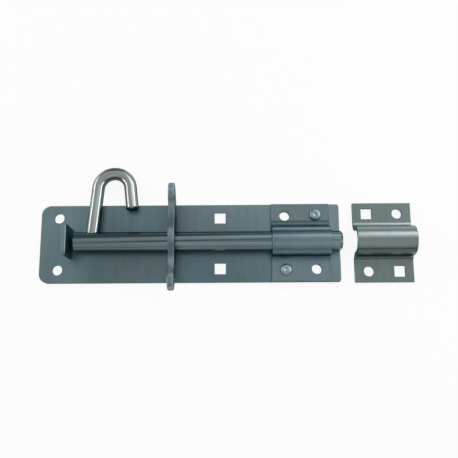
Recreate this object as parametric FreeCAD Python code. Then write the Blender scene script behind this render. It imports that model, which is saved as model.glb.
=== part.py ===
import FreeCAD, Part
import math
import os

from FreeCAD import Vector

# Padbolt for a gate or shed door, laid on its back.
# The origin is the middle of the backplate's back face. The bar shoots towards +X, +Y is up the
# door when the bar lies level, and +Z stands off the door. All sizes are millimetres.

# Backplate
plate_length = 250.0
plate_width = 65.8
plate_thickness = 3.0
plate_left_corner = 8.0
plate_right_corner = 2.0
edge_break = 0.4

# Fixing holes of the backplate. The square ones stand part of the way from locking plate to bracket.
round_hole = 8.5
square_hole = 9.2
left_hole_inset = 15.0
left_hole_rows = 44.0
square_hole_share = 0.462
square_hole_rows = 43.0

# Bar
bar_diameter = 16.0
bar_plate_gap = 0.3
tip_projection = 0.4
tip_chamfer = 1.5
tail_chamfer = 0.8

# End stop, an upright plate with a tenon through the backplate
stop_inset = 24.0
stop_thickness = 3.0
stop_width = 25.2
stop_height = 25.5
stop_corner = 2.0
stop_tenon = 12.0
stop_bar_gap = 3.0
tenon_clearance = 0.1

# Locking plate, an upright plate with an arched notch for the bar and a padlock hole in each ear
lock_inset = 108.6
lock_offset = 2.2
lock_thickness = 5.0
lock_edge_break = 0.8
lock_base_width = 54.0
lock_crown_wall = 9.0
lock_valley_radius = 20.0
ear_spacing = 70.4
ear_height = 23.5
ear_radius = 8.9
padlock_hole = 10.5
bar_notch_clearance = 0.5
lock_tenon = 9.0
lock_tenon_spacing = 36.0

# Saddles: the guide bracket on the backplate and the keep on the frame
saddle_sheet = 3.0
saddle_bar_clearance = 1.0
saddle_flare = 5.0
guide_inset = 8.8
guide_length = 48.4
guide_width = 65.0
guide_hole_pitch = 25.8
guide_hole_rows = 45.0
keep_gap = 11.5
keep_length = 48.8
keep_width = 67.0
keep_hole_pitch = 25.6
keep_hole_rows = 48.8

# Rivets that hold the guide bracket
rivet_pitch = 25.2
rivet_rows = 46.0
rivet_shank = 5.0
rivet_head = 10.0
rivet_crown = 5.6
rivet_head_height = 3.0
rivet_rim_height = 1.2
rivet_clearance = 0.05

# Crook handle, a bent round rod that stands on the bar
rod_diameter = 10.5
handle_setback = 15.0
stem_splay = 4.3
leg_splay = 7.0
crook_reach = 59.8
bend_radius = 13.5
leg_end_radius = 28.0
leg_end_chamfer = 1.0
weld_gap = 0.1
handle_plate_gap = 0.3

# Places that follow from the sizes above
plate_left = -plate_length / 2
plate_right = plate_length / 2
plate_edge = plate_width / 2
bar_radius = bar_diameter / 2
rod_radius = rod_diameter / 2
bar_axis = plate_thickness + bar_plate_gap + bar_radius
stop_left = plate_left + stop_inset
bar_left = stop_left + stop_thickness + stop_bar_gap
bar_right = plate_right + tip_projection
lock_left = plate_left + lock_inset
lock_right = lock_left + lock_thickness
notch_radius = bar_radius + bar_notch_clearance
saddle_inner = bar_radius + saddle_bar_clearance
saddle_outer = saddle_inner + saddle_sheet
guide_left = plate_right - guide_inset - guide_length
guide_middle = guide_left + guide_length / 2
guide_top = plate_thickness + saddle_sheet
square_hole_x = lock_right + square_hole_share * (guide_left - lock_right)
rivet_bore = rivet_shank + 2 * rivet_clearance
keep_left = plate_right + keep_gap
keep_middle = keep_left + keep_length / 2
hole_overrun = 1.0


def box(x_range, y_range, z_range):
    """A block between two values on each axis."""
    sizes = [high - low for low, high in (x_range, y_range, z_range)]
    return Part.makeBox(*sizes, Vector(x_range[0], y_range[0], z_range[0]))


def drill(x, y, diameter, bottom, top):
    """A cutter for a round hole along Z."""
    height = top - bottom + 2 * hole_overrun
    return Part.makeCylinder(diameter / 2, height, Vector(x, y, bottom - hole_overrun))


def square_punch(x, y, side, bottom, top):
    """A cutter for a square hole along Z."""
    half = side / 2
    return box((x - half, x + half), (y - half, y + half), (bottom - hole_overrun, top + hole_overrun))


def arc(middle, radius, start, end):
    """An arc in the YZ plane about (y, z), between two angles in degrees from +Y."""
    angles = [math.radians(start + (end - start) * share) for share in (0.0, 0.5, 1.0)]
    points = [Vector(0, middle[0] + radius * math.cos(a), middle[1] + radius * math.sin(a)) for a in angles]
    return Part.Arc(*points).toShape()


def outline(pieces):
    """A closed face in the YZ plane from arcs and (y, z) corners, joined by straight lines."""
    edges = []
    ends = []
    for piece in pieces:
        if isinstance(piece, tuple):
            point = Vector(0, piece[0], piece[1])
            ends.append((point, point))
        else:
            ends.append((piece.valueAt(piece.FirstParameter), piece.valueAt(piece.LastParameter)))
    for index, piece in enumerate(pieces):
        if not isinstance(piece, tuple):
            edges.append(piece)
        finish = ends[index][1]
        start = ends[(index + 1) % len(pieces)][0]
        if finish.distanceToPoint(start) > 1e-6:
            edges.append(Part.makeLine(finish, start))
    return Part.Face(Part.Wire(Part.__sortEdges__(edges)))


def upright(face, left, thickness):
    """A plate that stands across the bar, from its face in the YZ plane."""
    plate = face.extrude(Vector(thickness, 0, 0))
    plate.translate(Vector(left, 0, 0))
    return plate


def rounded_corners(plate, corners):
    """Round the edges along Z that stand at the given (x, y) corners."""
    for (x, y), radius in corners:
        edges = [e for e in plate.Edges if is_upright_at(e, x, y)]
        plate = plate.makeFillet(radius, edges)
    return plate


def is_upright_at(edge, x, y):
    """Whether a straight edge stands along Z at (x, y)."""
    return all(abs(v.X - x) < 1e-4 and abs(v.Y - y) < 1e-4 for v in edge.Vertexes) and len(edge.Vertexes) == 2


def guide_hole_spots():
    """Places (x, y) of the guide bracket's two fixing holes, upper one first."""
    pitch = guide_hole_pitch / 2
    rows = guide_hole_rows / 2
    return [(guide_middle - pitch, rows), (guide_middle + pitch, -rows)]


def rivet_spots():
    """Places (x, y) of the guide bracket's two rivets, on the other diagonal, upper one first."""
    pitch = rivet_pitch / 2
    rows = rivet_rows / 2
    return [(guide_middle + pitch, rows), (guide_middle - pitch, -rows)]


def tenon_slot(left, thickness, y, width):
    """A cutter for the slot that takes a tenon."""
    half = width / 2 + tenon_clearance
    x_range = (left - tenon_clearance, left + thickness + tenon_clearance)
    return box(x_range, (y - half, y + half), (-hole_overrun, plate_thickness + hole_overrun))


def backplate():
    """The flat sheet with its fixing holes, tenon slots and rivet holes."""
    plate = box((plate_left, plate_right), (-plate_edge, plate_edge), (0, plate_thickness))
    corners = [((plate_left, side * plate_edge), plate_left_corner) for side in (-1, 1)]
    corners += [((plate_right, side * plate_edge), plate_right_corner) for side in (-1, 1)]
    plate = rounded_corners(plate, corners)
    top = max(plate.Faces, key=lambda face: face.CenterOfMass.z)
    plate = plate.makeChamfer(edge_break, top.Edges)
    cutters = []
    for side in (-1, 1):
        left_hole = (plate_left + left_hole_inset, side * left_hole_rows / 2)
        cutters.append(drill(*left_hole, round_hole, 0, plate_thickness))
        square_y = side * square_hole_rows / 2
        cutters.append(square_punch(square_hole_x, square_y, square_hole, 0, plate_thickness))
        tenon_y = lock_offset + side * lock_tenon_spacing / 2
        cutters.append(tenon_slot(lock_left, lock_thickness, tenon_y, lock_tenon))
    for spot in guide_hole_spots():
        cutters.append(drill(*spot, round_hole, 0, plate_thickness))
    for spot in rivet_spots():
        cutters.append(drill(*spot, rivet_bore, 0, plate_thickness))
    cutters.append(tenon_slot(stop_left, stop_thickness, 0, stop_tenon))
    return plate.cut(cutters)


def rivet(x, y):
    """A headed rivet through the bracket's flange and the backplate, closed flush at the back."""
    top = guide_top + rivet_head_height
    profile = [
        (0, 0),
        (rivet_shank / 2, 0),
        (rivet_shank / 2, guide_top),
        (rivet_head / 2, guide_top),
        (rivet_head / 2, guide_top + rivet_rim_height),
        (rivet_crown / 2, top),
        (0, top),
    ]
    points = [Vector(x + radius, y, z) for radius, z in profile]
    face = Part.Face(Part.makePolygon(points + points[:1]))
    return face.revolve(Vector(x, y, 0), Vector(0, 0, 1), 360)


def end_stop():
    """The upright plate behind the bar, with its tenon flush at the back."""
    half = stop_width / 2
    top = plate_thickness + stop_height
    corner = stop_corner
    face = outline([
        (-half, plate_thickness),
        (-stop_tenon / 2, plate_thickness),
        (-stop_tenon / 2, 0),
        (stop_tenon / 2, 0),
        (stop_tenon / 2, plate_thickness),
        (half, plate_thickness),
        arc((half - corner, top - corner), corner, 0, 90),
        arc((corner - half, top - corner), corner, 90, 180),
    ])
    return break_rim(upright(face, stop_left, stop_thickness), edge_break)


def break_rim(plate, depth):
    """Break the long edges of an upright plate's rim, above the backplate."""
    rim = []
    for face in plate.Faces:
        normal = face.normalAt(*face.Surface.parameter(face.CenterOfMass))
        if abs(normal.x) > 0.99:
            rim += [e for e in face.Edges if e.BoundBox.ZMin > plate_thickness + 1e-3]
    return plate.makeChamfer(depth, rim)


def tangent_middle(first, first_reach, second, second_reach):
    """The point above two centres (y, z) at the given distances from them."""
    dy, dz = second[0] - first[0], second[1] - first[1]
    span = math.hypot(dy, dz)
    along = (first_reach**2 - second_reach**2 + span**2) / (2 * span)
    off = math.sqrt(first_reach**2 - along**2)
    return (first[0] + (along * dy - off * dz) / span, first[1] + (along * dz + off * dy) / span)


def angle_from(middle, point):
    """The direction in degrees from one (y, z) point to another."""
    return math.degrees(math.atan2(point[1] - middle[1], point[0] - middle[0]))


def locking_plate():
    """The upright plate with rounded ears, an arched notch round the bar and two tenons."""
    crown = (0.0, bar_axis)
    crown_radius = notch_radius + lock_crown_wall
    ear = (ear_spacing / 2, ear_height)
    valley = tangent_middle(crown, crown_radius + lock_valley_radius, ear, ear_radius + lock_valley_radius)
    base = (lock_base_width / 2, plate_thickness)
    reach = math.hypot(ear[0] - base[0], ear[1] - base[1])
    underside = angle_from(base, ear) - math.degrees(math.asin(ear_radius / reach)) - 90
    tenon_inner = (lock_tenon_spacing - lock_tenon) / 2
    tenon_outer = (lock_tenon_spacing + lock_tenon) / 2
    half_face = outline([
        arc(crown, crown_radius, 90, angle_from(crown, valley)),
        arc(valley, lock_valley_radius, angle_from(valley, crown), angle_from(valley, ear)),
        arc(ear, ear_radius, angle_from(ear, valley), underside),
        base,
        (tenon_outer, plate_thickness),
        (tenon_outer, 0),
        (tenon_inner, 0),
        (tenon_inner, plate_thickness),
        (0.0, plate_thickness),
    ])
    half = upright(half_face, lock_left, lock_thickness)
    whole = half.fuse(half.mirror(Vector(0, 0, 0), Vector(0, 1, 0))).removeSplitter()
    whole.translate(Vector(0, lock_offset, 0))
    cutters = [lock_drill(lock_offset + side * ear[0], ear[1], padlock_hole) for side in (-1, 1)]
    cutters.append(lock_drill(0.0, bar_axis, 2 * notch_radius))
    x_range = (lock_left - hole_overrun, lock_left + lock_thickness + hole_overrun)
    cutters.append(box(x_range, (-notch_radius, notch_radius), (plate_thickness - hole_overrun, bar_axis)))
    return break_rim(whole, lock_edge_break).cut(cutters)


def lock_drill(y, z, diameter):
    """A cutter along X through the locking plate."""
    start = Vector(lock_left - hole_overrun, y, z)
    return Part.makeCylinder(diameter / 2, lock_thickness + 2 * hole_overrun, start, Vector(1, 0, 0))


def saddle(left, length, width, base):
    """A sheet pressed over the bar, with flared feet and flat flanges, its back at the given z."""
    front = base + saddle_sheet
    flare = min(saddle_flare, bar_axis - front)
    bend = (saddle_outer + flare, front + flare)
    far = width / 2
    right_foot = [
        arc(bend, flare, 180, 270),
        (far, front),
        (far, base),
        arc(bend, flare + saddle_sheet, 270, 180),
    ]
    mirrored = (-bend[0], bend[1])
    left_foot = [
        arc(mirrored, flare + saddle_sheet, 0, -90),
        (-far, base),
        (-far, front),
        arc(mirrored, flare, -90, 0),
    ]
    outer_arch = arc((0.0, bar_axis), saddle_outer, 180, 0)
    inner_arch = arc((0.0, bar_axis), saddle_inner, 0, 180)
    body = upright(outline([outer_arch, *right_foot, inner_arch, *left_foot]), left, length)
    return body.makeChamfer(edge_break, [edge for edge in body.Edges if is_front_rim(edge, front)])


def is_front_rim(edge, front):
    """Whether a saddle's edge runs across the bar on the sheet's front side."""
    bounds = edge.BoundBox
    reach = max(bounds.YMax, -bounds.YMin)
    return bounds.XLength < 1e-3 and bounds.ZMin > front - 1e-3 and reach > saddle_outer - 1e-3


def guide_bracket():
    """The saddle on the backplate, with two fixing holes and two rivet holes."""
    body = saddle(guide_left, guide_length, guide_width, plate_thickness)
    cutters = [drill(*spot, round_hole, plate_thickness, guide_top) for spot in guide_hole_spots()]
    cutters += [drill(*spot, rivet_bore, plate_thickness, guide_top) for spot in rivet_spots()]
    return body.cut(cutters)


def keep():
    """The loose saddle for the frame, with round and square holes on opposite diagonals."""
    body = saddle(keep_left, keep_length, keep_width, 0.0)
    pitch = keep_hole_pitch / 2
    rows = keep_hole_rows / 2
    cutters = []
    for side in (-1, 1):
        cutters.append(drill(keep_middle + side * pitch, side * rows, round_hole, 0, saddle_sheet))
        cutters.append(square_punch(keep_middle + side * pitch, -side * rows, square_hole, 0, saddle_sheet))
    return body.cut(cutters)


def shoot_bolt():
    """The round bar, chamfered at its tip and a little at its tail."""
    profile = [
        (bar_left, 0),
        (bar_left, bar_radius - tail_chamfer),
        (bar_left + tail_chamfer, bar_radius),
        (bar_right - tip_chamfer, bar_radius),
        (bar_right, bar_radius - tip_chamfer),
        (bar_right, 0),
    ]
    points = [Vector(x, 0, bar_axis + radius) for x, radius in profile]
    face = Part.Face(Part.makePolygon(points + points[:1]))
    return face.revolve(Vector(0, 0, bar_axis), Vector(1, 0, 0), 360)


def crook_angle():
    """The angle in degrees at which the rod lies just clear of the backplate's edge."""
    across = plate_edge
    below = plate_thickness + handle_plate_gap - bar_axis
    return math.degrees(math.atan2(below, across) + math.asin(rod_radius / math.hypot(across, below)))


def crook_handle():
    """The bent rod: a splayed stem on the bar, a half turn and a short free leg."""
    stem = math.radians(stem_splay)
    leg = math.radians(leg_splay)
    foot_x = bar_left + handle_setback
    bend_y = crook_reach - bend_radius
    bend_x = foot_x + (bend_radius + (bend_y - bar_radius) * math.sin(stem)) / math.cos(stem)
    middle = Vector(bend_x, bend_y, 0)
    stem_top = middle + Vector(-math.cos(stem), math.sin(stem), 0) * bend_radius
    leg_top = middle + Vector(math.cos(leg), math.sin(leg), 0) * bend_radius
    stem_base = stem_top - Vector(math.sin(stem), math.cos(stem), 0) * (stem_top.y / math.cos(stem))
    leg_drop = (leg_top.y - leg_end_radius) / math.cos(leg)
    leg_end = leg_top + Vector(math.sin(leg), -math.cos(leg), 0) * leg_drop
    route = Part.Wire([
        Part.makeLine(stem_base, stem_top),
        Part.Arc(stem_top, middle + Vector(0, bend_radius, 0), leg_top).toShape(),
        Part.makeLine(leg_top, leg_end),
    ])
    section = Part.Wire(Part.makeCircle(rod_radius, stem_base, stem_top - stem_base))
    rod = route.makePipeShell([section], True, False)
    rod = rod.makeChamfer(leg_end_chamfer, [leg_end_ring(rod, leg_end)])
    rod.translate(Vector(0, 0, bar_axis))
    bar_start = Vector(bar_left, 0, bar_axis)
    seat = Part.makeCylinder(bar_radius + weld_gap, bar_right - bar_left, bar_start, Vector(1, 0, 0))
    rod = largest_piece(rod.cut(seat))
    rod.rotate(Vector(0, 0, bar_axis), Vector(1, 0, 0), crook_angle())
    return rod


def leg_end_ring(rod, end):
    """The circle round the end of the free leg."""
    return min(rod.Edges, key=lambda edge: edge.CenterOfMass.distanceToPoint(end))


def largest_piece(rod):
    """The piece of the rod that stands outside the bar."""
    return max(rod.Solids, key=lambda solid: solid.Volume)


def pieces():
    """Every piece by its node name."""
    upper_rivet, lower_rivet = rivet_spots()
    return {
        "backplate": backplate(),
        "end_stop": end_stop(),
        "locking_plate": locking_plate(),
        "guide_bracket": guide_bracket(),
        "rivet_upper": rivet(*upper_rivet),
        "rivet_lower": rivet(*lower_rivet),
        "shoot_bolt": shoot_bolt(),
        "crook_handle": crook_handle(),
        "keep": keep(),
    }


def main():
    """Write each piece to its own STEP file."""
    os.makedirs("parts", exist_ok=True)
    for name, shape in pieces().items():
        shape.exportStep(os.path.join("parts", name + ".step"))
        print(name, "valid" if shape.isValid() else "not valid", round(shape.Volume, 1), "cubic mm")


main()
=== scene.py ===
"""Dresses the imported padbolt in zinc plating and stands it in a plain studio.

Every size of the part is in metres. +X is the way the bar shoots, +Y is up the door and +Z stands off its
face. The part lies on its back here, so +Z is upward in the studio.
"""

import math
from typing import NamedTuple

import bmesh
import bpy
from mathutils import Euler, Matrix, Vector


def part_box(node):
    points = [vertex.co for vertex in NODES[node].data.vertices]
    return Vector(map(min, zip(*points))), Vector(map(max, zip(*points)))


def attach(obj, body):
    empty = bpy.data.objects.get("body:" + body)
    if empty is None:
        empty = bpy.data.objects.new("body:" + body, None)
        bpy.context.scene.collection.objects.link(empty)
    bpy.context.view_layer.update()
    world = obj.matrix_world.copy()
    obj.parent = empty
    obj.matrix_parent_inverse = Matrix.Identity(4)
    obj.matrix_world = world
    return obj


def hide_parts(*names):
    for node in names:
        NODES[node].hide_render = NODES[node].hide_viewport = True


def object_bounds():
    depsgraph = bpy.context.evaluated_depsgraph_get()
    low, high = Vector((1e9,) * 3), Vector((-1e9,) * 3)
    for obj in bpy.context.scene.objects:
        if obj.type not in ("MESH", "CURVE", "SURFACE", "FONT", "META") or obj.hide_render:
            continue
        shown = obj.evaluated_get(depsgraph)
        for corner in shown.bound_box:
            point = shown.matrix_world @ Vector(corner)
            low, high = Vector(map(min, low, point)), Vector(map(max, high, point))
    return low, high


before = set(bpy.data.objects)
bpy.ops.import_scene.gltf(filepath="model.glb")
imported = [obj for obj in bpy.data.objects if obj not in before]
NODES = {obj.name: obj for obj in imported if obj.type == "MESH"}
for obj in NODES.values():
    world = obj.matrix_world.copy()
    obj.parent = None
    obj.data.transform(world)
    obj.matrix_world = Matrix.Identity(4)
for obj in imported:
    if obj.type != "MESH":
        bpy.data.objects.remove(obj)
CAD_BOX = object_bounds()

bl_info = {
    "name": "Padbolt finishes",
    "version": (1, 0, 0),
    "blender": (4, 5, 0),
    "location": "View3D > Sidebar > Padbolt",
    "description": "Zinc plated finishes for a padbolt and the studio it stands in",
    "category": "Material",
}

# Camera, as the photograph was taken: its place, its tilt from straight down and its small turns
CAMERA_PLACE = (0.0340, -0.1071, 0.5509)
CAMERA_TILT = math.radians(12.27)
CAMERA_YAW = math.radians(0.14)
CAMERA_ROLL = math.radians(-0.36)
CAMERA_NEAR = 0.01

# Its lens and its sensor's width, in millimetres as Blender takes them
CAMERA_LENS = 52.6
CAMERA_SENSOR = 36.0

# Floor: how far it reaches, how far it lies under the part, and how much of it shows as plain white
FLOOR_REACH = 4.0
FLOOR_DROP = 0.0004
FLOOR_GLOW = 0.9
WHITE = (1.0, 1.0, 1.0)

# The surround's level by the height of a direction, and its soft lights: a direction, how narrow, how strong
SKY_LEVELS = (
    (0.0, 0.92), (0.055, 0.75), (0.11, 0.16), (0.3, 0.27), (0.64, 0.45),
    (0.85, 0.53), (0.96, 0.46), (0.985, 0.37), (1.0, 0.34),
)
SKY_LIGHTS = (
    ((0.42, 0.66, 0.62), 30.0, 2.8),
    ((0.15, 0.45, 0.88), 22.0, 0.24),
    ((-0.45, 0.25, 0.86), 14.0, 0.13),
    ((0.00, -0.55, 0.83), 8.0, 0.18),
)

# The side lamps: name, place and size. Both face one point near the part's middle.
LAMPS = (
    ("left_lamp", (-0.9, 0.25, 0.34), (1.1, 0.28)),
    ("right_lamp", (0.85, 0.25, 0.43), (1.1, 0.32)),
)
LAMP_AIM = (0.03, 0.0, 0.0)

# Dull plating falls darker where it is seen at a low angle
EDGE_TINT = (0.20, 0.27, 0.30)

# How many features the plating's noises have to the metre, from its broad tone to its fine tooth
TONE_SCALE = 9.0
PATCH_SCALE = 26.0
CLOUD_SCALE = 90.0
TOOTH_SCALE = 1500.0

# The middle of a noise's range
NOISE_MIDDLE = 0.5

# Tint: the clouds' share beside the patches, where warm turns to cool, and green's part in the turn
CLOUD_SHARE = 0.4
TINT_TURN = ((0.38, 0.0), (0.62, 1.0))
GREEN_SHARE = 0.25

# How dark and how light the broad tone goes
TONE_LEVELS = ((0.38, 0.88), (0.62, 1.10))

# Streaks: where in their noise they are darkest and lightest, how dark and light, and how much rougher
STREAK_ENDS = (0.3, 0.7)
STREAK_DARKENING = 0.26
STREAK_LIGHTENING = 0.14
STREAK_ROUGHNESS = 0.12

# The share of a finish's roughness that is always there, and the most that the clouds add to it
LEAST_ROUGHNESS = 0.8
CLOUD_ROUGHNESS = 0.4

# Relief of the plating: the parts of the tooth and the clouds beside the streaks, its strength and depth
TOOTH_RELIEF = 0.35
CLOUD_RELIEF = 0.3
RELIEF_STRENGTH = 0.25
RELIEF_DEPTH = 0.0002

# Where painted shade darkens the plating, red falls faster than green, and blue slower
SHADE_RED_POWER = 1.25
SHADE_BLUE_POWER = 0.95

# How softly a painted band begins and ends, and the most of its width that each soft edge takes
MARK_EDGE = 0.0006
BROAD_MARK_EDGE = 0.003
MARK_EDGE_SHARE = 0.4

# Painted light and shade, laid over the plating's tint: each is a direction and (distance along it, share of
# the tint) stops. The last direction stands square on the handle as it lies at rest.
ALONG = (1.0, 0.0, 0.0)
ACROSS = (0.0, 1.0, 0.0)
UPWARD = (0.0, 0.0, 1.0)
SLANTING = (0.447, 0.894, 0.0)
ASKEW = (-0.019, 1.0, 0.0)
ROD_UPWARD = (0.0, 0.0828, 0.9966)


def painted_bands(*rows, edge=MARK_EDGE):
    """The stops for a few bands of painted shade and painted highlight, each given by where it starts, where
    it ends and its share of the tint.
    """
    stops = []
    for start, end, share in rows:
        soft = min(edge, MARK_EDGE_SHARE * (end - start))
        stops += [(start - soft, 1.0), (start + soft, share), (end - soft, share), (end + soft, 1.0)]
    return tuple(stops)


# Backplate: painted light, lighter towards +Y along a slanting line and lightest near its -X end
PLATE_PAINTED_LIGHT = (
    (SLANTING, ((-0.060, 0.80), (-0.015, 0.70), (0.012, 0.90), (0.049, 1.20), (0.070, 1.12))),
    (ALONG, ((-0.118, 1.20), (-0.098, 1.32), (-0.076, 1.0))),
)

# Bar, from -Y to +Y: a line of painted shade and a painted highlight, then a thin painted dark reflection
# and a painted shadow along the upper side that lie a little askew. Its flanks carry painted shade too.
BAR_PAINTED_SHADE = (
    (ACROSS, painted_bands((-0.0072, -0.0061, 0.50), (-0.0055, -0.0045, 1.40))),
    (ASKEW, painted_bands((-0.0014, -0.0001, 0.50), (0.0029, 0.0110, 0.42))),
    (UPWARD, ((0.0033, 1.0), (0.0085, 0.95), (0.0102, 0.75), (0.0125, 1.0))),
)

# Saddles: painted shade in lines along the crown and where the sheet bends, and a painted highlight on the
# upper bend. The keep has darker feet too, and a thin painted shadow at its end towards the bar.
GUIDE_PAINTED_SHADE = (
    (ACROSS, painted_bands(
        (-0.0160, -0.0119, 0.68),
        (-0.0107, -0.0084, 0.52),
        (0.0030, 0.0070, 0.46),
        (0.0084, 0.0116, 1.18),
        (0.0126, 0.0184, 0.54),
    )),
)
KEEP_PAINTED_SHADE = (
    (ACROSS, painted_bands(
        (-0.0345, -0.0138, 0.76),
        (-0.0112, -0.0079, 0.36),
        (-0.0062, 0.0000, 0.90),
        (0.0044, 0.0066, 0.90),
        (0.0094, 0.0114, 1.35),
        (0.0165, 0.0345, 0.79),
    )),
    (ACROSS, painted_bands((-0.0150, -0.0124, 0.62))),
    (ALONG, painted_bands((0.1358, 0.1368, 0.40))),
)

# Locking plate: broad stretches of painted shade and painted highlight along its rim
LOCK_PAINTED_SHADE = (
    (ACROSS, painted_bands(
        (-0.0150, -0.0030, 0.60),
        (0.0090, 0.0190, 0.55),
        (0.0250, 0.0310, 1.20),
        (0.0380, 0.0450, 1.30),
        edge=BROAD_MARK_EDGE,
    )),
)

# Crook handle: painted shade in a line along both sides of the rod and on the outer side of its bend
CROOK_PAINTED_SHADE = (
    (ROD_UPWARD, ((0.0074, 1.0), (0.0100, 0.32), (0.0125, 0.32), (0.0151, 1.0))),
    (ACROSS, painted_bands((0.0610, 0.0665, 0.45))),
)


class Finish(NamedTuple):
    """How one kind of plating looks.

    Its streaks are so many to the metre along each axis, and run along the axis with the fewest. The mottle
    is how far its tint wanders between warm and cool.
    """

    roughness: float
    streaks: tuple
    streak_strength: float = 0.5
    mottle: float = 0.05
    # Bands of painted light and shade laid over the tint, each a direction and its stops
    painted_shading: tuple = ()


SHEET_STREAKS = (260.0, 30.0, 260.0)
UPRIGHT_STREAKS = (300.0, 60.0, 300.0)
BAR_STREAKS = (9.0, 520.0, 520.0)
ROD_CLOUDS = (60.0, 60.0, 60.0)
RIVET_CLOUDS = (200.0, 200.0, 200.0)

FINISHES = {
    "rolled_zinc": Finish(0.34, SHEET_STREAKS, streak_strength=0.35, mottle=0.06, painted_shading=PLATE_PAINTED_LIGHT),
    "pressed_zinc": Finish(0.32, SHEET_STREAKS, streak_strength=0.35, mottle=0.06, painted_shading=GUIDE_PAINTED_SHADE),
    "cut_zinc": Finish(0.36, UPRIGHT_STREAKS),
    "punched_zinc": Finish(0.36, UPRIGHT_STREAKS, painted_shading=LOCK_PAINTED_SHADE),
    "drawn_zinc": Finish(0.25, BAR_STREAKS, streak_strength=1.2, painted_shading=BAR_PAINTED_SHADE),
    "bright_zinc": Finish(0.21, ROD_CLOUDS, mottle=0.02, painted_shading=CROOK_PAINTED_SHADE),
    "pale_zinc": Finish(0.30, SHEET_STREAKS, streak_strength=0.35, painted_shading=KEEP_PAINTED_SHADE),
    "rivet_zinc": Finish(0.42, RIVET_CLOUDS),
}

# Rivets with a rounded head and a peened hollow, in place of the plain ones that the CAD turns
RIVETS = ("rivet_upper", "rivet_lower")
HEAD_HEIGHT = 0.003
HEAD_SEGMENTS = 7
SHANK_RADIUS = 0.0025
ROUND_SIDES = 64
SHARP_ANGLE = math.radians(40)


class Number:
    """A number socket that takes Python's arithmetic and adds a Math node for each step."""

    def __init__(self, graph, socket):
        self.graph = graph
        self.socket = socket

    def step(self, operation, first, second):
        """The result of one Math node."""
        node = self.graph.add("ShaderNodeMath", {"operation": operation}, {0: first, 1: second})
        return Number(self.graph, node.outputs[0])

    def __add__(self, other):
        return self.step("ADD", self, other)

    def __sub__(self, other):
        return self.step("SUBTRACT", self, other)

    def __rsub__(self, other):
        return self.step("SUBTRACT", other, self)

    def __mul__(self, other):
        return self.step("MULTIPLY", self, other)

    def raised(self, exponent):
        """This number to a power."""
        return self.step("POWER", self, exponent)

    def at_least(self, other):
        """The greater of this number and another."""
        return self.step("MAXIMUM", self, other)

    __radd__ = __add__
    __rmul__ = __mul__


class Graph:
    """A node tree that is filled one node at a time."""

    def __init__(self, tree):
        self.tree = tree
        tree.nodes.clear()

    def add(self, kind, settings=None, sockets=None):
        """One node: its settings first, then the values or links of its sockets."""
        node = self.tree.nodes.new(kind)
        for key, value in (settings or {}).items():
            if key == "stops":
                self.set_stops(node.color_ramp, value)
            else:
                setattr(node, key, value)
        for key, value in (sockets or {}).items():
            self.feed(node.inputs[key], value)
        return node

    def feed(self, socket, value):
        """Link a socket where the value comes from a node, and set it otherwise."""
        source = value.socket if isinstance(value, Number) else value
        if isinstance(source, bpy.types.NodeSocket):
            self.tree.links.new(source, socket)
        else:
            socket.default_value = source

    @staticmethod
    def set_stops(ramp, stops):
        """Give a colour ramp its (place, colour) stops."""
        while len(ramp.elements) < len(stops):
            ramp.elements.new(0.5)
        for element, (place, stop_colour) in zip(ramp.elements, stops):
            element.position = place
            element.color = stop_colour

    def ramp(self, value, stops):
        """A number read through a ramp of (place, level) stops."""
        colours = [(place, (level, level, level, 1.0)) for place, level in stops]
        node = self.add("ShaderNodeValToRGB", {"stops": colours}, {"Fac": value})
        return Number(self, node.outputs["Color"])

    def mix(self, factor, first, second, blend="MIX"):
        """Two colours mixed."""
        settings = {"data_type": "RGBA", "blend_type": blend}
        return self.add("ShaderNodeMix", settings, {0: factor, 6: first, 7: second}).outputs[2]

    def reach(self, vector, direction):
        """How far a vector goes in a direction."""
        sockets = {0: vector, 1: direction}
        node = self.add("ShaderNodeVectorMath", {"operation": "DOT_PRODUCT"}, sockets)
        return Number(self, node.outputs["Value"])

    def paint_shade(self, base, here, direction, stops):
        """A colour with painted light and shade laid over it, varying along a direction."""
        low, high = stops[0][0], stops[-1][0]
        place = (self.reach(here, direction) - low) * (1.0 / (high - low))
        colours = [((distance - low) / (high - low), painted_shade_tint(share)) for distance, share in stops]
        node = self.add("ShaderNodeValToRGB", {"stops": colours}, {"Fac": place})
        return self.mix(1.0, base, node.outputs["Color"], "MULTIPLY")

    def noise(self, vector, scale, detail, roughness=0.55):
        """Soft noise, from 0 to 1, with features of about 1 / scale metres."""
        sockets = {"Vector": vector, "Scale": scale, "Detail": detail, "Roughness": roughness}
        node = self.add("ShaderNodeTexNoise", sockets=sockets)
        return Number(self, node.outputs["Fac"])

    def place(self, stretch=(1.0, 1.0, 1.0)):
        """The piece's own coordinates in metres, scaled along each axis."""
        sockets = {"Vector": self.add("ShaderNodeTexCoord").outputs["Object"], "Scale": stretch}
        return self.add("ShaderNodeMapping", sockets=sockets).outputs["Vector"]


def colour(rgb):
    """A colour socket's value."""
    return (*rgb, 1.0)


def painted_shade_tint(share):
    """What painted shade does to a tint: where it darkens, it also turns a little blue."""
    red = min(share, share ** SHADE_RED_POWER)
    blue = max(share, share ** SHADE_BLUE_POWER)
    return colour((red, share, blue))


def warmed(tint, mottle):
    """The tint turned towards warm, or towards cool where the mottle is below zero."""
    shifts = (1.0 + mottle, 1.0 - mottle * GREEN_SHARE, 1.0 - mottle)
    return colour(channel * shift for channel, shift in zip(tint, shifts))


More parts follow.
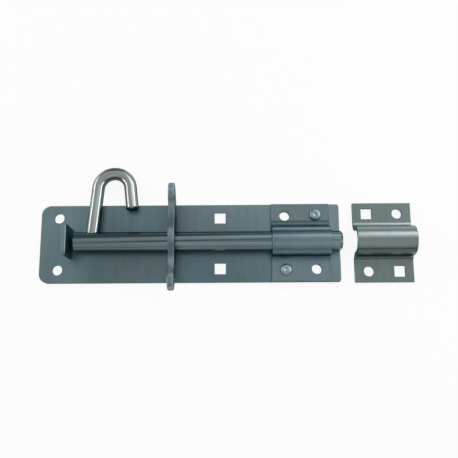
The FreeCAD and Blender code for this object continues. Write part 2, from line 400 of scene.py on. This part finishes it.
def zinc(name, tint):
    """Bright zinc plating: a cloudy tint, drawing or rolling streaks along one axis and a fine tooth."""
    finish = FINISHES[name]
    strength = finish.streak_strength
    material = bpy.data.materials.new(name)
    material.use_nodes = True
    graph = Graph(material.node_tree)
    here = graph.place()
    clouds = graph.noise(here, CLOUD_SCALE, detail=4.0)
    patches = graph.noise(here, PATCH_SCALE, detail=2.0)
    tone = graph.noise(here, TONE_SCALE, detail=1.0)
    lines = graph.noise(graph.place(finish.streaks), 1.0, detail=5.0, roughness=0.7)
    tooth = graph.noise(here, TOOTH_SCALE, detail=2.0)

    turn = graph.ramp(clouds * CLOUD_SHARE + patches * (1.0 - CLOUD_SHARE), TINT_TURN)
    base = graph.mix(turn, warmed(tint, finish.mottle), warmed(tint, -finish.mottle))
    streak_levels = (1.0 - STREAK_DARKENING * strength, 1.0 + STREAK_LIGHTENING * strength)
    shade = graph.ramp(lines, tuple(zip(STREAK_ENDS, streak_levels))) * graph.ramp(tone, TONE_LEVELS)
    base = graph.mix(1.0, base, shade, "MULTIPLY")
    # Lay the finish's painted light and shade over its tint
    for direction, stops in finish.painted_shading:
        base = graph.paint_shade(base, here, direction, stops)

    rough = finish.roughness * (LEAST_ROUGHNESS + CLOUD_ROUGHNESS * clouds)
    rough = rough + (lines - NOISE_MIDDLE) * (STREAK_ROUGHNESS * strength)
    relief = lines * strength + tooth * TOOTH_RELIEF + clouds * CLOUD_RELIEF
    bump = graph.add("ShaderNodeBump", sockets={
        "Strength": RELIEF_STRENGTH, "Distance": RELIEF_DEPTH, "Height": relief})
    shader = graph.add("ShaderNodeBsdfPrincipled", sockets={
        "Base Color": base,
        "Metallic": 1.0,
        "Roughness": rough,
        "Specular Tint": colour(EDGE_TINT),
        "Normal": bump.outputs["Normal"],
    })
    graph.add("ShaderNodeOutputMaterial", sockets={"Surface": shader.outputs["BSDF"]})
    return material


def dress(name, material):
    """Give a CAD node its finish."""
    for slot in NODES[name].material_slots:
        slot.material = material


def show(name, shape, material):
    """Turn a finished bmesh into a mesh object and put it in the scene."""
    mesh = bpy.data.meshes.new(name)
    shape.to_mesh(mesh)
    shape.free()
    mesh.materials.append(material)
    piece = bpy.data.objects.new(name, mesh)
    bpy.context.scene.collection.objects.link(piece)
    return piece


class PadboltSettings(bpy.types.PropertyGroup):
    """The colours and sizes that a user would change."""

    sheet_colour: bpy.props.FloatVectorProperty(
        name="Sheet colour", description="Zinc on the backplate and the guide bracket", subtype="COLOR",
        size=3, default=(0.224, 0.312, 0.338), min=0.0, max=1.0)
    upright_colour: bpy.props.FloatVectorProperty(
        name="Upright colour", description="Zinc on the end stop and the locking plate", subtype="COLOR",
        size=3, default=(0.245, 0.335, 0.36), min=0.0, max=1.0)
    bar_colour: bpy.props.FloatVectorProperty(
        name="Bar colour", description="Zinc on the drawn bar", subtype="COLOR",
        size=3, default=(0.25, 0.333, 0.357), min=0.0, max=1.0)
    rod_colour: bpy.props.FloatVectorProperty(
        name="Handle colour", description="Brighter zinc on the crook handle", subtype="COLOR",
        size=3, default=(0.37, 0.40, 0.395), min=0.0, max=1.0)
    keep_colour: bpy.props.FloatVectorProperty(
        name="Keep colour", description="Zinc on the separate keep", subtype="COLOR",
        size=3, default=(0.295, 0.35, 0.355), min=0.0, max=1.0)
    rivet_colour: bpy.props.FloatVectorProperty(
        name="Rivet colour", description="Zinc on the rivets' heads", subtype="COLOR",
        size=3, default=(0.35, 0.44, 0.455), min=0.0, max=1.0)
    floor_colour: bpy.props.FloatVectorProperty(
        name="Floor colour", description="The pale studio floor", subtype="COLOR",
        size=3, default=(0.95, 0.95, 0.95), min=0.0, max=1.0)
    head_rounding: bpy.props.FloatProperty(
        name="Head rounding", description="How far a rivet's head is rounded over", unit="LENGTH",
        default=0.0028, min=0.0, precision=4)
    hollow_inset: bpy.props.FloatProperty(
        name="Hollow inset", description="How far the hollow's floor stands in from its rim", unit="LENGTH",
        default=0.0006, min=0.0, precision=4)
    hollow_depth: bpy.props.FloatProperty(
        name="Hollow depth", description="How deep the hollow on a rivet's head is", unit="LENGTH",
        default=0.0005, min=0.0, precision=4)
    lamp_level: bpy.props.FloatProperty(
        name="Lamp level", description="Watts from each square metre of the side lamps",
        default=10.5, min=0.0)


class PADBOLT_OT_sheets(bpy.types.Operator):
    """Finish the backplate and the guide bracket, rolled sheet with streaks across the bar"""

    bl_idname = "padbolt.sheets"
    bl_label = "Backplate and bracket"

    def execute(self, context):
        tint = context.scene.padbolt.sheet_colour
        dress("backplate", zinc("rolled_zinc", tint))
        dress("guide_bracket", zinc("pressed_zinc", tint))
        return {"FINISHED"}


class PADBOLT_OT_uprights(bpy.types.Operator):
    """Finish the end stop and the locking plate"""

    bl_idname = "padbolt.uprights"
    bl_label = "End stop and locking plate"

    def execute(self, context):
        tint = context.scene.padbolt.upright_colour
        dress("end_stop", zinc("cut_zinc", tint))
        dress("locking_plate", zinc("punched_zinc", tint))
        return {"FINISHED"}


class PADBOLT_OT_bar(bpy.types.Operator):
    """Finish the drawn bar, with streaks along its length"""

    bl_idname = "padbolt.bar"
    bl_label = "Bar"

    def execute(self, context):
        dress("shoot_bolt", zinc("drawn_zinc", context.scene.padbolt.bar_colour))
        return {"FINISHED"}


class PADBOLT_OT_handle(bpy.types.Operator):
    """Finish the crook handle, the brightest piece"""

    bl_idname = "padbolt.handle"
    bl_label = "Crook handle"

    def execute(self, context):
        dress("crook_handle", zinc("bright_zinc", context.scene.padbolt.rod_colour))
        return {"FINISHED"}


class PADBOLT_OT_keep(bpy.types.Operator):
    """Finish the separate keep, a little paler than the backplate"""

    bl_idname = "padbolt.keep"
    bl_label = "Keep"

    def execute(self, context):
        dress("keep", zinc("pale_zinc", context.scene.padbolt.keep_colour))
        return {"FINISHED"}


def add_post(shape, middle, radius, bottom, top):
    """A round post along Z. Returns its vertices."""
    post = bmesh.ops.create_cone(shape, cap_ends=True, segments=ROUND_SIDES, radius1=radius, radius2=radius,
                                 depth=top - bottom)
    bmesh.ops.translate(shape, verts=post["verts"], vec=(middle.x, middle.y, (bottom + top) / 2))
    return post["verts"]


def round_rivet(name, material, settings):
    """A rivet with its head rounded over and hollowed on top, where the CAD rivet is."""
    low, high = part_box(name)
    middle = (low + high) / 2
    seat = high.z - HEAD_HEIGHT
    shape = bmesh.new()
    add_post(shape, middle, SHANK_RADIUS, low.z, seat)
    head = add_post(shape, middle, high.x - middle.x, seat, high.z)
    crown = [vert for vert in head if vert.co.z > seat + HEAD_HEIGHT / 2]
    rim = [edge for edge in shape.edges if edge.verts[0] in crown and edge.verts[1] in crown]
    bmesh.ops.bevel(shape, geom=rim, offset=settings.head_rounding, offset_type="OFFSET",
                    segments=HEAD_SEGMENTS, profile=0.5, affect="EDGES", material=-1)
    top = max(shape.faces, key=lambda face: face.calc_center_median().z)
    bmesh.ops.inset_individual(shape, faces=[top], thickness=settings.hollow_inset,
                               depth=-settings.hollow_depth)
    for face in shape.faces:
        face.smooth = True
    for edge in shape.edges:
        edge.smooth = edge.calc_face_angle() < SHARP_ANGLE
    piece = show(name + "_round", shape, material)
    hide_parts(name)
    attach(piece, "plate")


class PADBOLT_OT_rivets(bpy.types.Operator):
    """Round over and finish the two rivets"""

    bl_idname = "padbolt.rivets"
    bl_label = "Rivets"

    def execute(self, context):
        settings = context.scene.padbolt
        material = zinc("rivet_zinc", settings.rivet_colour)
        for name in RIVETS:
            dress(name, material)
            round_rivet(name, material, settings)
        return {"FINISHED"}


def floor_material(tint):
    """A pale floor that reads white to the camera and in the metal, and still takes a soft shadow."""
    material = bpy.data.materials.new("studio_floor")
    material.use_nodes = True
    graph = Graph(material.node_tree)
    path = graph.add("ShaderNodeLightPath")
    seen = Number(graph, path.outputs["Is Camera Ray"])
    seen = seen.at_least(Number(graph, path.outputs["Is Glossy Ray"]))
    seen = seen.at_least(Number(graph, path.outputs["Is Transmission Ray"]))
    matt = graph.add("ShaderNodeBsdfDiffuse", sockets={"Color": colour(tint)})
    glow = graph.add("ShaderNodeEmission", sockets={"Color": colour(WHITE), "Strength": 1.0})
    surface = graph.add("ShaderNodeMixShader", sockets={
        0: seen * FLOOR_GLOW, 1: matt.outputs["BSDF"], 2: glow.outputs["Emission"]})
    graph.add("ShaderNodeOutputMaterial", sockets={"Surface": surface.outputs["Shader"]})
    return material


def lay_floor(tint):
    """A wide flat floor just under the part."""
    shape = bmesh.new()
    bmesh.ops.create_grid(shape, x_segments=1, y_segments=1, size=FLOOR_REACH)
    bmesh.ops.translate(shape, verts=shape.verts, vec=(0.0, 0.0, CAD_BOX[0].z - FLOOR_DROP))
    show("studio_floor", shape, floor_material(tint))


def hang_lamp(name, place, size, level):
    """A soft rectangular lamp that faces the part and isn't itself in any picture."""
    lamp = bpy.data.lights.new(name, "AREA")
    lamp.shape = "RECTANGLE"
    lamp.size, lamp.size_y = size
    lamp.energy = level * size[0] * size[1]
    holder = bpy.data.objects.new(name, lamp)
    holder.location = place
    aim = Vector(LAMP_AIM) - Vector(place)
    holder.rotation_euler = aim.to_track_quat("-Z", "Y").to_euler()
    holder.visible_camera = False
    bpy.context.scene.collection.objects.link(holder)


def light_world():
    """A plain surround, pale at the horizon and dim above it, with a few broad soft lights."""
    world = bpy.data.worlds.new("studio")
    bpy.context.scene.world = world
    world.use_nodes = True
    graph = Graph(world.node_tree)
    direction = graph.add("ShaderNodeTexCoord").outputs["Generated"]
    level = graph.ramp(graph.reach(direction, UPWARD), SKY_LEVELS)
    for aim, narrow, strength in SKY_LIGHTS:
        towards = graph.reach(direction, Vector(aim).normalized())
        level = level + towards.at_least(0.0).raised(narrow) * strength
    background = graph.add("ShaderNodeBackground", sockets={"Color": colour(WHITE), "Strength": level})
    graph.add("ShaderNodeOutputWorld", sockets={"Surface": background.outputs["Background"]})


def place_camera():
    """The photograph's own view."""
    lens = bpy.data.cameras.new("camera")
    lens.sensor_width = CAMERA_SENSOR
    lens.lens = CAMERA_LENS
    lens.clip_start = CAMERA_NEAR
    camera = bpy.data.objects.new("camera", lens)
    camera.location = CAMERA_PLACE
    camera.rotation_mode = "ZYX"
    camera.rotation_euler = Euler((CAMERA_TILT, CAMERA_YAW, CAMERA_ROLL), "ZYX")
    bpy.context.scene.collection.objects.link(camera)
    bpy.context.scene.camera = camera


class PADBOLT_OT_studio(bpy.types.Operator):
    """Lay the floor, hang the lamps and set the camera"""

    bl_idname = "padbolt.studio"
    bl_label = "Studio"

    def execute(self, context):
        settings = context.scene.padbolt
        context.scene.view_settings.view_transform = "Standard"
        lay_floor(settings.floor_colour)
        light_world()
        for name, place, size in LAMPS:
            hang_lamp(name, place, size, settings.lamp_level)
        place_camera()
        return {"FINISHED"}


class PADBOLT_PT_panel(bpy.types.Panel):
    """The padbolt's finishes and studio"""

    bl_label = "Padbolt"
    bl_space_type = "VIEW_3D"
    bl_region_type = "UI"
    bl_category = "Padbolt"

    def draw(self, context):
        for name in PadboltSettings.__annotations__:
            self.layout.prop(context.scene.padbolt, name)
        for operator in OPERATORS:
            self.layout.operator(operator.bl_idname)


OPERATORS = (
    PADBOLT_OT_sheets,
    PADBOLT_OT_uprights,
    PADBOLT_OT_bar,
    PADBOLT_OT_handle,
    PADBOLT_OT_keep,
    PADBOLT_OT_rivets,
    PADBOLT_OT_studio,
)


def register():
    """Make the settings, the operators and the panel known."""
    for item in (PadboltSettings, *OPERATORS, PADBOLT_PT_panel):
        bpy.utils.register_class(item)
    bpy.types.Scene.padbolt = bpy.props.PointerProperty(type=PadboltSettings)


def unregister():
    """Take them out again, last one first."""
    del bpy.types.Scene.padbolt
    for item in (PADBOLT_PT_panel, *reversed(OPERATORS), PadboltSettings):
        bpy.utils.unregister_class(item)


def main():
    """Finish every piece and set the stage."""
    register()
    bpy.ops.padbolt.sheets()
    bpy.ops.padbolt.uprights()
    bpy.ops.padbolt.bar()
    bpy.ops.padbolt.handle()
    bpy.ops.padbolt.keep()
    bpy.ops.padbolt.rivets()
    bpy.ops.padbolt.studio()


if __name__ == "__main__":
    main()
